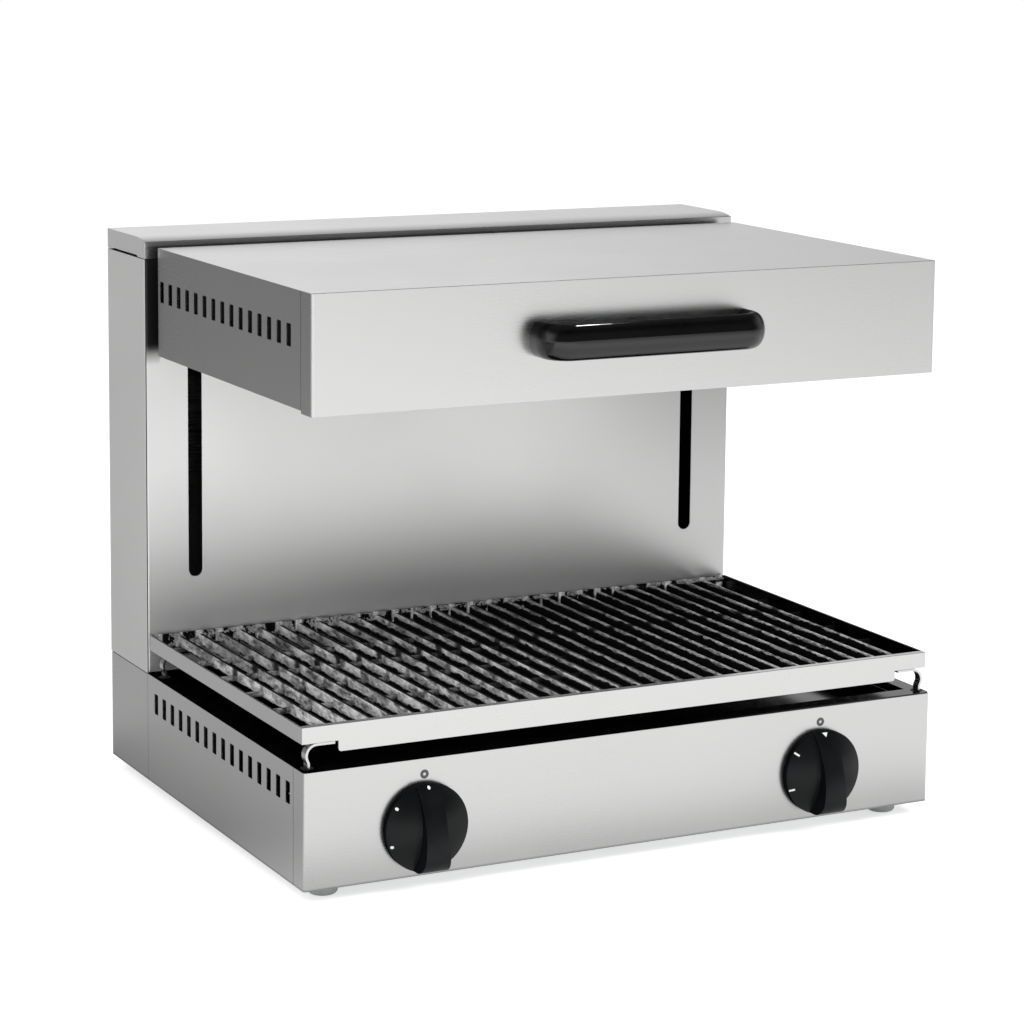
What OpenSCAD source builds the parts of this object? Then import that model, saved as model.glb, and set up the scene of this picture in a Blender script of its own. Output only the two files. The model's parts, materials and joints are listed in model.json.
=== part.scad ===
// Counter-top cheese melter with a counterbalanced lifting hood.
// X runs across the front, Y runs from the front to the back, Z is up.
// The origin is at the centre of the footprint, on the surface that the feet stand on.

/* [Overall] */
// Width over the casing
body_w = 600; // [500:10:800]
// Depth from the front of the base to the back panel
body_d = 450; // [375:5:560]
// Height from the surface to the top cover
body_h = 502; // [412:5:622]

/* [Casing] */
// Thickness of the casing sheet
sheet = 1.2; // [0.8:0.1:1.6]
// Outside radius of the folded vertical corners
bend_r = 2.5; // [2:0.1:4]
// Width of the open seams between panels
seam = 0.5; // [0.3:0.1:1]
// Height of the base box, without its feet
base_h = 98; // [92:1:130]
// Depth of the column behind the cooking space
column_d = 96; // [92:1:120]
// How far the front panels wrap round onto the sides
wrap_d = 21; // [15:1:40]
// Width of the folded ledge along the top of the base
ledge_w = 12; // [11:0.5:13]
// Width of the stiffening flanges inside the column and the hood
flange_w = 15; // [12:1:18]
// Height of the column's top cover
cover_h = 18; // [16:1:24]
// Depth of the stretch at the front of the top cover that curves down
crown_d = 24; // [10:1:40]
// How far the top cover curves down at its front
crown_drop = 3; // [1:0.5:6]

/* [Ventilation slots] */
// Number of slots in each side of the base
base_vents = 16; // [4:1:17]
// Number of slots in each side of the hood
hood_vents = 15; // [4:1:16]
// Width of one slot
vent_w = 9; // [4:0.5:11]
// Height of one slot
vent_h = 18.5; // [10:0.5:22]
// Corner radius of one slot
vent_r = 1.2; // [0.5:0.1:1.9]
// Distance from one slot to the next in the base
vent_pitch = 20; // [16:0.25:22]
// Distance from one slot to the next in the hood
hood_vent_pitch = 20.25; // [16:0.25:21]
// Length of one slot in the back panel
louvre_l = 70; // [40:5:90]
// Height of one slot in the back panel
louvre_h = 4; // [3:0.5:6]

/* [Feet] */
// Height of a foot
foot_h = 12; // [8:1:20]
// Radius of a foot
foot_r = 12.5; // [8:0.5:18]
// Distance of a foot's centre from the casing's sides, front and back
foot_inset = 29; // [24:1:45]

/* [Knobs and switches] */
// Place of the left knob across the front
knob_left_x = -193.5; // [-205:0.5:-120]
// Place of the right knob across the front
knob_right_x = 186.5; // [120:0.5:205]
// Height of the knobs above the surface
knob_z = 53.5; // [51:0.5:57]
// Radius of a knob's skirt
knob_r = 37; // [30:0.5:38]
// How far a knob's grip stands out from the panel
knob_reach = 28; // [24:1:34]
// Thickness of a knob's skirt at its rim
skirt_t = 5; // [4:0.5:7]
// Height of a knob's domed skirt at its middle
dome_h = 17; // [12:0.5:19]
// Width of a knob's grip at its waist
grip_w = 19; // [10:1:20]
// Radius of a switch spindle
spindle_r = 3; // [2.5:0.25:4]
// Radial running clearance round every spindle, rod and axle
run_clear = 0.05; // [0.03:0.01:0.08]
// Turn from one switch position to the next, in degrees
switch_step = 55; // [30:5:60]
// Width and height of a switch body
switch_w = 44; // [36:1:50]
// Depth of a switch body
switch_d = 34; // [25:1:45]

/* [Column slots and guides] */
// Distance of a slot's centre from the column's side
slot_inset = 46.5; // [42:0.5:60]
// Width of a slot
slot_w = 13; // [11:0.5:18]
// Height of the slots' rounded lower end above the surface
slot_z = 195; // [190:1:230]
// Radius of a guide rod
rod_r = 6; // [5:0.5:8]
// Distance of a guide rod's axis from the middle of the column
rod_x = 215; // [200:1:222]
// Distance of a guide rod's axis behind the column's front face
rod_set = 32; // [30:0.5:34]
// Width of a hood arm where it passes through its slot
arm_t = 8; // [5:0.5:9]
// Height of a hood arm
arm_h = 24; // [16:1:30]

/* [Counterbalance] */
// Distance of a cable from the middle of the column
cable_x = 120; // [60:5:150]
// Radius of a cable
cable_r = 1.5; // [1:0.25:2]
// Radius of a pulley at its groove's bottom
pulley_r = 14.2; // [13.5:0.1:14.5]
// Width of a pulley
pulley_w = 10; // [8:1:14]
// Radius of a pulley axle
axle_r = 4; // [3:0.5:5]
// Width of the counterweight bar
weight_w = 380; // [300:10:390]
// Thickness of the counterweight bar
weight_t = 26; // [20:1:28]
// Height of the counterweight bar
weight_h = 122; // [80:1:130]

/* [Hood] */
// Height of the hood's side panels
hood_h = 95.5; // [86:0.5:110]
// How far the hood's top lies below the top cover
hood_drop = 7; // [3:1:12]
// How far each side of the hood stands in from the casing
hood_side_gap = 6.5; // [4:0.5:12]
// Gap between the hood and the column
hood_back_gap = 16; // [14:1:20]
// How far the front panel hangs below the hood's sides
hood_lip = 2.5; // [1.5:0.5:5]
// Height of the reflector above the hood's lower edge
reflector_h = 41; // [38:1:46]
// Thickness of the insulation above the reflector
insulation_t = 25; // [15:1:30]
// Radius of a heating element tube
element_r = 4; // [3:0.5:5]
// Number of straight runs in one heating element
element_runs = 6; // [4:2:6]
// Distance from one run to the next
element_pitch = 40; // [34:1:42]

/* [Handle] */
// Width of the hood handle
handle_w = 212; // [150:2:260]
// Place of the handle's middle across the hood
handle_x = 4; // [-20:1:20]
// Height of the hood handle
handle_h = 30; // [22:1:36]
// How far the handle stands out from the hood
handle_reach = 38; // [32:1:50]
// Thickness of the handle's grip
handle_t = 19; // [14:1:20]
// Radius of the handle's outer corners
handle_r = 27; // [20:1:30]
// Radius of a handle screw
handle_screw_r = 3; // [2.5:0.25:4]

/* [Rack] */
// Height of the rack's rails
rail_h = 14; // [12:1:20]
// Thickness of the rack's rails
rail_t = 2; // [1.5:0.25:3]
// Height of the rails' lower edge above the base
rack_lift_h = 22; // [20:1:30]
// How far the front rail's apron hangs below its ends
apron_h = 9; // [5:1:11]
// Distance of the apron from the rack's ends
apron_inset = 32; // [30:1:60]
// Width of the front rail's top flange and end returns
rail_flange_w = 6; // [5:0.5:10]
// Distance of the rack's front from the base's front
rack_front_gap = 6; // [4:0.5:8]
// Gap between the rack and the column
rack_back_gap = 3.5; // [2.5:0.5:12]
// Gap between the rack's sides and the casing's sides
rack_side_gap = 1; // [0.5:0.5:6]
// Thickness of a rack bar
bar_t = 3; // [2:0.5:5]
// Height of a rack bar
bar_h = 10; // [8:0.5:12]
// Wanted distance from one rack bar to the next
bar_pitch = 19.3; // [14:0.1:30]
// Gap between the outermost bars and the side rails
bar_margin = 25; // [14:1:30]
// Radius of a cross rod
cross_r = 2.5; // [2:0.25:3]
// Number of cross rods
cross_rods = 4; // [2:1:5]
// Distance from one cross rod to the next
cross_pitch = 58; // [40:1:62]
// Width of a leg strip
leg_w = 8; // [6:0.5:9]
// Thickness of a leg strip
leg_t = 2; // [1.5:0.25:2.5]
// Radius of a leg's bend
leg_r = 9; // [8:0.5:9.5]
// Distance of the rear legs from the back of the rack
rear_leg_inset = 20; // [12:1:40]

/* [Well and drip tray] */
// Depth of the enamelled well below the base's top edge
well_depth = 22; // [16:1:24]
// Distance of the well's side walls from the casing's sides
well_side = 14; // [13.5:0.5:22]
// Distance of the well's front wall from the base's front
well_front = 16; // [15.5:0.5:22]
// Gap between the drip tray and the well
tray_gap = 6; // [4:1:14]
// Height of the drip tray
tray_h = 16; // [10:1:18]
// Radius of a leg socket
socket_r = 5.5; // [5.25:0.05:5.6]

/* [Rear connections] */
// Radius of the cable entry through the gland
gland_bore_r = 5; // [4:0.5:6]
// How far the gland stands out from the back
gland_out = 24; // [18:1:34]
// Height of the gland and the bonding stud above the surface
gland_z = 46; // [38:1:60]
// Distance of the gland from the casing's right side
gland_inset = 62; // [56:1:72]
// Radius of the bonding stud
stud_r = 3; // [2.5:0.5:4]

/* [Hidden] */
$fn = 48;

// A cut runs this far past the faces that it goes through.
over = 1;
// Gap between a piece at rest and the stop or seat that it stands on.
seat_gap = 0.3;
// Clearance of a leg strip in its socket, on each side.
leg_clear = 0.4;
// Play of a screw in its hole.
screw_play = 0.1;
// A slot with full round ends keeps this much flat at each end.
flat = 0.01;

half_w = body_w / 2;
base_top = foot_h + base_h;
base_d = body_d - column_d;
cover_z = body_h - cover_h;

hood_w = body_w - 2 * hood_side_gap;
hood_half = hood_w / 2;
hood_d = base_d - hood_back_gap;
hood_top = body_h - hood_drop;
hood_z = hood_top - hood_h;
hood_flange_z = hood_z + sheet;
reflector_z = hood_z + reflector_h;
reflector_inset = 8.5;
insulation_inset = reflector_inset + 4;
element_drop = 22;
element_z = reflector_z - element_drop;
element_y = hood_d / 2 - (element_runs - 1) * element_pitch / 2;
// The elements' bends stay this far from the middle and from the reflector's ends.
element_mid_gap = 12;
element_end_gap = 22;
element_bend = element_pitch / 2;
riser_r = 12;
riser_out = 6;
riser_top = reflector_z + insulation_t + riser_out;

rack_x = half_w - rack_side_gap;
rack_y0 = rack_front_gap;
rack_y1 = base_d - rack_back_gap;
rack_z = base_top + rack_lift_h;
rack_top = rack_z + rail_h;
bar_top = rack_top - rail_t;
bar_z = bar_top - bar_h;
bars_half = rack_x - rail_t - bar_margin;
bar_count = floor(2 * bars_half / bar_pitch) + 1;
bar_step = 2 * bars_half / (bar_count - 1);
cross_rise = 3.4;
cross_z = bar_z + cross_rise;
cross_y = (rack_y0 + rack_y1) / 2 - (cross_rods - 1) * cross_pitch / 2;

leg_inset = 7;
leg_x = half_w - leg_inset;
leg_tab_w = apron_inset - 3;
leg_front_y = rack_y0 + leg_w / 2;
leg_rear_y = rack_y1 - rear_leg_inset;
leg_small_r = 5;
leg_angle = 30;
leg_bend_x = leg_x - leg_r * cos(leg_angle) + leg_small_r * (1 - cos(leg_angle));
socket_h = 11;
socket_floor = 2;
socket_top = base_top + sheet + 0.3;
socket_z = socket_top - socket_h;

well_z = base_top + sheet - well_depth;
well_back = 12;
well_back_gap = 2;
well_x = half_w - well_side;
well_y1 = base_d - well_back - well_back_gap;

foot_screw_r = 2.45;
foot_screw_l = 7.5;
foot_bore_l = foot_screw_l + 0.5;

knob_back = 1;
knob_mark_r = knob_r - 2.6;
// A spindle reaches this far into its knob, in front of the panel.
spindle_out = 13;
switch_foot_t = 3;
switch_bore_l = 14;
switch_screw_x = 15;
switch_screw_r = 2;
switch_screw_l = 7.5;

slot_x = half_w - slot_inset;
slot_clear = 4;
rod_y = base_d + rod_set;
arm_rise = 36;
arm_z = hood_z + arm_rise;
arm_set = 10;
plate_y = base_d + arm_set;
plate_t = 3;
carriage_margin = 9;
carriage_w = 2 * (slot_x + carriage_margin);
carriage_h = 2 * arm_h;
carriage_z = arm_z - (carriage_h - arm_h) / 2;
block_w = 32;
block_y1 = rod_y + block_w / 2;
bush_r = 9;
bush_l = 15;
lug_h = 8;
lug_w = 16;
cable_play = 0.3;
groove_r = pulley_r + cable_r + cable_play;
pulley_rim_h = 3;
pulley_rim_r = groove_r + pulley_rim_h;
pulley_gap = 3;
cable_set = 9;
cable_y = block_y1 - cable_set;
pulley_y = cable_y + groove_r;
weight_cable_y = pulley_y + groove_r;
beam_drop = 5;
beam_z = cover_z - beam_drop;
beam_t = 3;
beam_y0 = rod_y - 12;
beam_y1 = body_d - 4 * sheet;
pulley_z = beam_z - pulley_rim_r - pulley_gap;
cheek_t = 2;
cheek_play = 0.5;
cheek_gap = pulley_w / 2 + cheek_play;
weight_lift = 8;
weight_z = foot_h + sheet + weight_lift;
// The hood comes down until its arms stand just above the slots' lower ends.
travel = arm_z - slot_z - slot_clear;
bracket_t = 5;
buffer_h = 14;
bracket_z = carriage_z - travel - buffer_h - bracket_t - seat_gap;

gland_x = half_w - gland_inset;
gland_thread_r = 10;
gland_hex_r = 13;
gland_in = 14;
stud_inset = 26;
stud_x = half_w - stud_inset;

back_screw_r = 1.9;

handle_rise = 48.5;
handle_z = hood_z + handle_rise;
handle_screw_x = (handle_w - handle_t) / 2;
handle_screw_l = 15;

// The origin lies midway between the handle's front and the gland's back.
y_mid = (body_d + gland_out - handle_reach) / 2;

steel = [0.8, 0.8, 0.79];
dark_steel = [0.3, 0.31, 0.32];
black = [0.06, 0.06, 0.065];
bright = [0.72, 0.73, 0.74];

// ---- Shared shapes ----

// A block between two X, two Y and two Z values
module block(x0, x1, y0, y1, z0, z1) {
    translate([x0, y0, z0]) cube([x1 - x0, y1 - y0, z1 - z0]);
}

// A round bar along X
module bar_along_x(r, x0, x1, y, z) {
    translate([x0, y, z]) rotate([0, 90, 0]) cylinder(r = r, h = x1 - x0);
}

// A round bar along Y
module bar_along_y(r, x, y0, y1, z) {
    translate([x, y0, z]) rotate([-90, 0, 0]) cylinder(r = r, h = y1 - y0);
}

// A round bar along Z
module bar_along_z(r, x, y, z0, z1) {
    translate([x, y, z0]) cylinder(r = r, h = z1 - z0);
}

// The same piece on both sides
module both_sides() {
    children();
    mirror([1, 0, 0]) children();
}

// A rectangle with round corners, from y = 0 to y = d and centred on x = 0
module round_rect(w, d, r) {
    translate([-w / 2, r]) square([w, d - 2 * r]);
    translate([-w / 2 + r, 0]) square([w - 2 * r, d]);
    for (x = [-w / 2 + r, w / 2 - r], y = [r, d - r]) translate([x, y]) circle(r = r);
}

// A slot outline centred on the origin
module slot_outline(w, h, r) {
    translate([0, -h / 2]) round_rect(w, h, r);
}

// A slot outline with full round ends
module long_slot(w, h) {
    slot_outline(w, h, min(w, h) / 2 - flat);
}

// The plan of a sheet folded round three sides of a box and open at y = d
module channel_plan(w, d, r) {
    intersection() {
        difference() {
            round_rect(w, 2 * d, r);
            translate([0, sheet]) round_rect(w - 2 * sheet, 2 * d - 2 * sheet, r - sheet);
        }
        translate([-w, 0]) square([2 * w, d]);
    }
}

// A flat plate with the same two round front corners as a channel
module channel_lid(w, d, r) {
    intersection() {
        round_rect(w, 2 * d, r);
        translate([-w, 0]) square([2 * w, d]);
    }
}

// A row of upright slots cut through both sides of a casing
module side_vents(count, pitch, y_mid_row, z, x0, x1) {
    for (i = [0 : count - 1])
        translate([x0, y_mid_row + (i - (count - 1) / 2) * pitch, z])
            rotate([90, 0, 90]) linear_extrude(x1 - x0) slot_outline(vent_w, vent_h, vent_r);
}

// A band along an arc of radius r in a 2-D drawing, from angle a0 to angle a1
module arc_band(r, t, a0, a1) {
    far = 2 * (r + t);
    intersection() {
        difference() {
            circle(r = r + t / 2);
            circle(r = r - t / 2);
        }
        polygon([[0, 0], far * [cos(a0), sin(a0)], far * [cos((a0 + a1) / 2), sin((a0 + a1) / 2)],
            far * [cos(a1), sin(a1)]]);
    }
}

// A pan head screw along Y, with its head towards -Y
module screw_y(x, y, z, r, l, head_r, head_h) {
    bar_along_y(r, x, y, y + l, z);
    bar_along_y(head_r, x, y - head_h, y, z);
}

// ---- Base ----

module base_front_panel() color(steel) {
    spindle_gap = 2;
    difference() {
        union() {
            translate([0, 0, foot_h]) linear_extrude(base_h) channel_plan(body_w, wrap_d, bend_r);
            translate([0, 0, base_top - sheet])
                linear_extrude(sheet) channel_lid(body_w, ledge_w, bend_r);
        }
        for (x = [knob_left_x, knob_right_x]) {
            bar_along_y(spindle_r + spindle_gap, x, -over, sheet + over, knob_z);
            for (dx = [-switch_screw_x, switch_screw_x])
                bar_along_y(switch_screw_r + screw_play, x + dx, -over, sheet + over, knob_z);
        }
        leg_socket_holes();
    }
}

module leg_socket_holes() {
    for (x = [-leg_x, leg_x], y = [leg_front_y, leg_rear_y])
        bar_along_z(socket_r, x, y, base_top - sheet - over, base_top + sheet + over);
}

module base_side() {
    vent_drop = 23.5;
    vent_shift = -5;
    difference() {
        union() {
            block(-half_w, -half_w + sheet, wrap_d + seam, base_d, foot_h, base_top);
            block(-half_w, -half_w + ledge_w, wrap_d + seam, base_d - sheet,
                base_top - sheet, base_top);
        }
        side_vents(base_vents, vent_pitch, (wrap_d + base_d) / 2 + vent_shift,
            base_top - vent_drop, -half_w - over, -half_w + sheet + over);
        leg_socket_holes();
    }
}

module base_side_left() color(steel) base_side();

module base_side_right() color(steel) mirror([1, 0, 0]) base_side();

module base_rear_casing() color(steel) {
    slots = 7;
    slot_pitch = 60;
    slot_l = 35;
    difference() {
        translate([0, body_d, foot_h]) mirror([0, 1, 0])
            linear_extrude(base_h - seam) channel_plan(body_w, column_d - seam, bend_r);
        bar_along_y(gland_thread_r, gland_x, body_d - sheet - over, body_d + over, gland_z);
        bar_along_y(stud_r, stud_x, body_d - sheet - over, body_d + over, gland_z);
        for (i = [0 : slots - 1])
            translate([(i - (slots - 1) / 2) * slot_pitch, body_d + over, foot_h + base_h / 2])
                rotate([90, 0, 0]) linear_extrude(sheet + 2 * over) long_slot(slot_l, louvre_h);
    }
}

module base_floor() color(steel) {
    slots = 11;
    slot_pitch = 40;
    slot_l = 60;
    row_gap = 0.3 * base_d;
    difference() {
        block(-half_w + sheet, half_w - sheet, sheet, body_d - sheet, foot_h, foot_h + sheet);
        foot_places() bar_along_z(foot_screw_r + run_clear, 0, 0, foot_h - over, foot_h + sheet + over);
        for (i = [0 : slots - 1], y = [(base_d - row_gap) / 2, (base_d + row_gap) / 2])
            translate([(i - (slots - 1) / 2) * slot_pitch, y, foot_h - over])
                linear_extrude(sheet + 2 * over) long_slot(vent_w, slot_l);
        for (x = [-half_w, half_w], y = [0, body_d])
            bar_along_z(bend_r + over, x, y, foot_h - over, foot_h + sheet + over);
    }
}

// The wall between the base box and the column, with a ledge for the well
module base_bulkhead() color(steel) {
    wire_hole_r = 15;
    difference() {
        union() {
            block(-half_w + sheet, half_w - sheet, base_d - sheet, base_d, foot_h + sheet, base_top);
            block(-half_w + ledge_w, half_w - ledge_w, base_d - well_back, base_d,
                base_top - sheet, base_top);
        }
        for (x = [-half_w / 2, half_w / 2])
            bar_along_y(wire_hole_r, x, base_d - sheet - over, base_d + over, foot_h + base_h / 2);
    }
}

module foot_places() {
    for (x = [-half_w + foot_inset, half_w - foot_inset], y = [foot_inset, body_d - foot_inset])
        translate([x, y, 0]) children();
}

module feet() color([0.45, 0.46, 0.47]) {
    chamfer = 2;
    foot_places() difference() {
        rotate_extrude() polygon([[0, 0], [foot_r - chamfer, 0], [foot_r, chamfer],
            [foot_r, foot_h], [0, foot_h]]);
        bar_along_z(foot_screw_r + run_clear, 0, 0, foot_h - foot_bore_l, foot_h + over);
    }
}

module foot_screws() color(bright) {
    head_r = 5;
    head_h = 3;
    foot_places() {
        bar_along_z(foot_screw_r, 0, 0, foot_h - foot_screw_l, foot_h + sheet);
        bar_along_z(head_r, 0, 0, foot_h + sheet, foot_h + sheet + head_h);
    }
}

// Printed rings on the front panel that the knobs' marks are set against
module index_marks() color(black) {
    outer_r = 3.8;
    inner_r = 1.3;
    ink = 0.12;
    mark_z = knob_z + knob_r + 6.5;
    for (x = [knob_left_x, knob_right_x]) difference() {
        bar_along_y(outer_r, x, -ink, 0, mark_z);
        bar_along_y(inner_r, x, -ink - over, over, mark_z);
    }
}

// ---- Well, leg sockets and drip tray ----

module well_liner() color(black) {
    rim_inset = 0.4;
    rim_x = half_w - rim_inset;
    difference() {
        union() {
            block(-rim_x, rim_x, rim_inset, base_d - rim_inset, base_top, base_top + sheet);
            block(-well_x, well_x, well_front, well_y1, well_z, base_top + sheet);
        }
        block(-well_x + sheet, well_x - sheet, well_front + sheet, well_y1 - sheet,
            well_z + sheet, base_top + sheet + over);
        leg_socket_holes();
        for (x = [-half_w, half_w])
            bar_along_z(bend_r, x, 0, base_top - over, base_top + sheet + over);
    }
}

module rack_leg_sockets() color(black) {
    for (x = [-leg_x, leg_x], y = [leg_front_y, leg_rear_y]) difference() {
        bar_along_z(socket_r - run_clear, x, y, socket_z, socket_top);
        block(x - leg_t / 2 - leg_clear, x + leg_t / 2 + leg_clear,
            y - leg_w / 2 - leg_clear, y + leg_w / 2 + leg_clear,
            socket_z + socket_floor, socket_top + over);
    }
}

module drip_tray() color(dark_steel) {
    x1 = well_x - sheet - tray_gap;
    y0 = well_front + sheet + tray_gap;
    y1 = well_y1 - sheet - tray_gap;
    z0 = well_z + sheet + seat_gap;
    corner = 12;
    tab_x = 0.55 * x1;
    tab_w = 44;
    tab_l = 3.5;
    tab_h = 5;
    difference() {
        union() {
            translate([0, y0, z0]) linear_extrude(tray_h) round_rect(2 * x1, y1 - y0, corner);
            for (x = [-tab_x, tab_x])
                block(x - tab_w / 2, x + tab_w / 2, y0 - tab_l, y0 + sheet,
                    z0 + tray_h - tab_h, z0 + tray_h);
        }
        translate([0, y0 + sheet, z0 + sheet]) linear_extrude(tray_h)
            round_rect(2 * (x1 - sheet), y1 - y0 - 2 * sheet, corner - sheet);
    }
}

// ---- Switches, knobs and connections ----

module zone_switch(x) {
    foot_w = 40;
    foot_l = 24;
    tag_gap = 12;
    tag_t = 0.8;
    tag_w = 6;
    tag_l = 8;
    difference() {
        union() {
            block(x - switch_w / 2, x + switch_w / 2, sheet + switch_foot_t, sheet + switch_d,
                knob_z - switch_w / 2, knob_z + switch_w / 2);
            block(x - foot_w / 2, x + foot_w / 2, sheet, sheet + switch_foot_t,
                knob_z - foot_l / 2, knob_z + foot_l / 2);
            for (dx = [-tag_gap, 0, tag_gap])
                block(x + dx - tag_t / 2, x + dx + tag_t / 2, sheet + switch_d,
                    sheet + switch_d + tag_l, knob_z - tag_w / 2, knob_z + tag_w / 2);
        }
        bar_along_y(spindle_r + run_clear, x, sheet - over, sheet + switch_bore_l, knob_z);
        for (dx = [-switch_screw_x, switch_screw_x])
            bar_along_y(switch_screw_r + run_clear, x + dx, sheet - over, switch_screw_l + over, knob_z);
    }
}

module zone_switch_left() color([0.85, 0.83, 0.76]) zone_switch(knob_left_x);

module zone_switch_right() color([0.85, 0.83, 0.76]) zone_switch(knob_right_x);

module switch_screws() color(bright) {
    head_r = 3.6;
    head_h = 1.6;
    for (x = [knob_left_x, knob_right_x], dx = [-switch_screw_x, switch_screw_x])
        screw_y(x + dx, 0, knob_z, switch_screw_r, switch_screw_l, head_r, head_h);
}

module knob_spindle(x) {
    bar_along_y(spindle_r, x, -spindle_out, sheet + switch_bore_l - 0.5, knob_z);
}

module knob_left_spindle() color(bright) knob_spindle(knob_left_x);

module knob_right_spindle() color(bright) knob_spindle(knob_right_x);

// A knob's skirt, turned round Z: a thin rim below a dome
module skirt() {
    rise = dome_h - skirt_t;
    dome_r = (knob_r * knob_r + rise * rise) / (2 * rise);
    intersection() {
        cylinder(r = knob_r, h = dome_h);
        translate([0, 0, dome_h - dome_r]) sphere(r = dome_r, $fn = 96);
    }
}

// A knob's grip seen from the front: its sides are hollow and spread towards the lower end
module grip_front() {
    side_r = 8.5 * knob_r;
    waist = 0.27 * knob_r;
    difference() {
        square(2 * knob_r, center = true);
        for (side = [-1, 1]) translate([side * (grip_w / 2 + side_r), waist])
            circle(r = side_r, $fn = 128);
    }
}

// The side view of a knob's grip, which rises in an arc from the top and rounds off below
module grip_side() {
    crest = -0.54 * knob_r;
    top = knob_r - 1;
    rise = knob_reach - skirt_t - 2;
    end_gap = 2.5;
    end_r = 15;
    arch_r = (pow(top - crest, 2) + rise * rise) / (2 * rise);
    intersection() {
        translate([crest, knob_reach - arch_r]) circle(r = arch_r, $fn = 96);
        translate([end_gap, -knob_reach]) round_rect(2 * knob_r, 2 * knob_reach, end_r);
        translate([-knob_r, knob_back]) square([knob_r + top, knob_reach]);
    }
}

// The front of a knob, a domed skirt and a grip that runs right across it
module knob_front() {
    translate([0, 0, knob_back]) skirt();
    intersection() {
        linear_extrude(knob_reach + over) grip_front();
        translate([-knob_r, 0, 0]) rotate([90, 0, 90]) linear_extrude(2 * knob_r) grip_side();
        cylinder(r = knob_r, h = knob_reach + over);
    }
}

// A knob with a hollow back and a hub
module knob(x) {
    rim_w = 3;
    face_t = 2.2;
    hub_t = 4.5;
    translate([x, 0, knob_z]) rotate([90, 0, 0]) difference() {
        knob_front();
        difference() {
            cylinder(r = knob_r - rim_w, h = knob_back + skirt_t - face_t);
            cylinder(r = spindle_r + hub_t, h = dome_h);
        }
        cylinder(r = spindle_r + run_clear, h = spindle_out + 0.2);
    }
}

module knob_left() color(black) knob(knob_left_x);

module knob_right() color(black) knob(knob_right_x);

// Paint on a knob's front, in the shape of the children, one for each switch position
module knob_paint(x) {
    paint = 0.15;
    translate([x, 0, knob_z]) rotate([90, 0, 0]) difference() {
        intersection() {
            translate([0, 0, paint]) knob_front();
            linear_extrude(knob_reach) children();
        }
        knob_front();
    }
}

module knob_left_marks() color("white") {
    dot_r = 1.3;
    knob_paint(knob_left_x) for (i = [0 : 2])
        rotate(i * switch_step) translate([0, knob_mark_r]) circle(r = dot_r);
}

module knob_right_marks() color("white") {
    dash_w = 1.6;
    dash_l = 4.4;
    arrow_w = 5.2;
    arrow_out = knob_r - 1.3;
    arrow_in = knob_mark_r - 2;
    knob_paint(knob_right_x) {
        polygon([[-arrow_w / 2, arrow_out], [arrow_w / 2, arrow_out], [0, arrow_in]]);
        for (i = [1 : 2]) rotate(i * switch_step)
            translate([-dash_w / 2, knob_mark_r - dash_l / 2]) square([dash_w, dash_l]);
    }
}

module terminal_block() color([0.8, 0.8, 0.76]) {
    block_l = 60;
    block_d = 28;
    block_h = 24;
    poles = 4;
    hole_r = 3;
    x0 = half_w - 85;
    y0 = base_d + 18;
    z0 = foot_h + sheet;
    difference() {
        block(x0, x0 + block_l, y0, y0 + block_d, z0, z0 + block_h);
        for (i = [0 : poles - 1], y = [y0 + block_d / 4, y0 + 3 * block_d / 4])
            bar_along_z(hole_r, x0 + (i + 0.5) * block_l / poles, y, z0 + block_h / 2,
                z0 + block_h + over);
    }
}

module cable_gland() color([0.25, 0.26, 0.27]) {
    hex_h = 8;
    dome_l = gland_out - hex_h;
    dome_r = 11.2;
    taper_l = 5;
    mouth_r = gland_bore_r + 3.5;
    difference() {
        union() {
            bar_along_y(gland_thread_r - run_clear, gland_x, body_d - sheet - gland_in, body_d,
                gland_z);
            translate([gland_x, body_d, gland_z]) rotate([-90, 0, 0]) {
                cylinder(r = gland_hex_r, h = hex_h, $fn = 6);
                translate([0, 0, hex_h]) rotate_extrude() polygon([[0, 0], [dome_r, 0],
                    [dome_r, dome_l - taper_l], [mouth_r, dome_l], [0, dome_l]]);
            }
        }
        bar_along_y(gland_bore_r, gland_x, body_d - sheet - gland_in - over,
            body_d + gland_out + over, gland_z);
    }
}

module gland_nut() color([0.25, 0.26, 0.27]) {
    nut_h = 6;
    translate([gland_x, body_d - sheet, gland_z]) rotate([90, 0, 0]) difference() {
        cylinder(r = gland_hex_r + 1, h = nut_h, $fn = 6);
        translate([0, 0, -over]) cylinder(r = gland_thread_r, h = nut_h + 2 * over);
    }
}

module bonding_stud() color([0.75, 0.68, 0.4]) {
    nut_r = 5.8;
    nut_h = 5;
    stud_out = 14;
    bar_along_y(stud_r - run_clear, stud_x, body_d - sheet - nut_h, body_d + stud_out, gland_z);
    for (y = [body_d - sheet, body_d + nut_h])
        translate([stud_x, y, gland_z]) rotate([90, 0, 0]) cylinder(r = nut_r, h = nut_h, $fn = 6);
}

// ---- Column ----

module column_casing() color(steel) {
    z1 = cover_z - seam;
    slot_top = arm_z + arm_h + slot_clear;
    difference() {
        union() {
            translate([0, base_d, base_top]) linear_extrude(z1 - base_top)
                channel_plan(body_w, column_d, bend_r);
            both_sides() block(-half_w, -half_w + flange_w, body_d - 2 * sheet,
                body_d - sheet, base_top, z1);
        }
        for (x = [-slot_x, slot_x]) {
            block(x - slot_w / 2, x + slot_w / 2, base_d - over, base_d + sheet + over,
                slot_z + slot_w / 2, slot_top);
            bar_along_y(slot_w / 2, x, base_d - over, base_d + sheet + over, slot_z + slot_w / 2);
        }
    }
}

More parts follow.
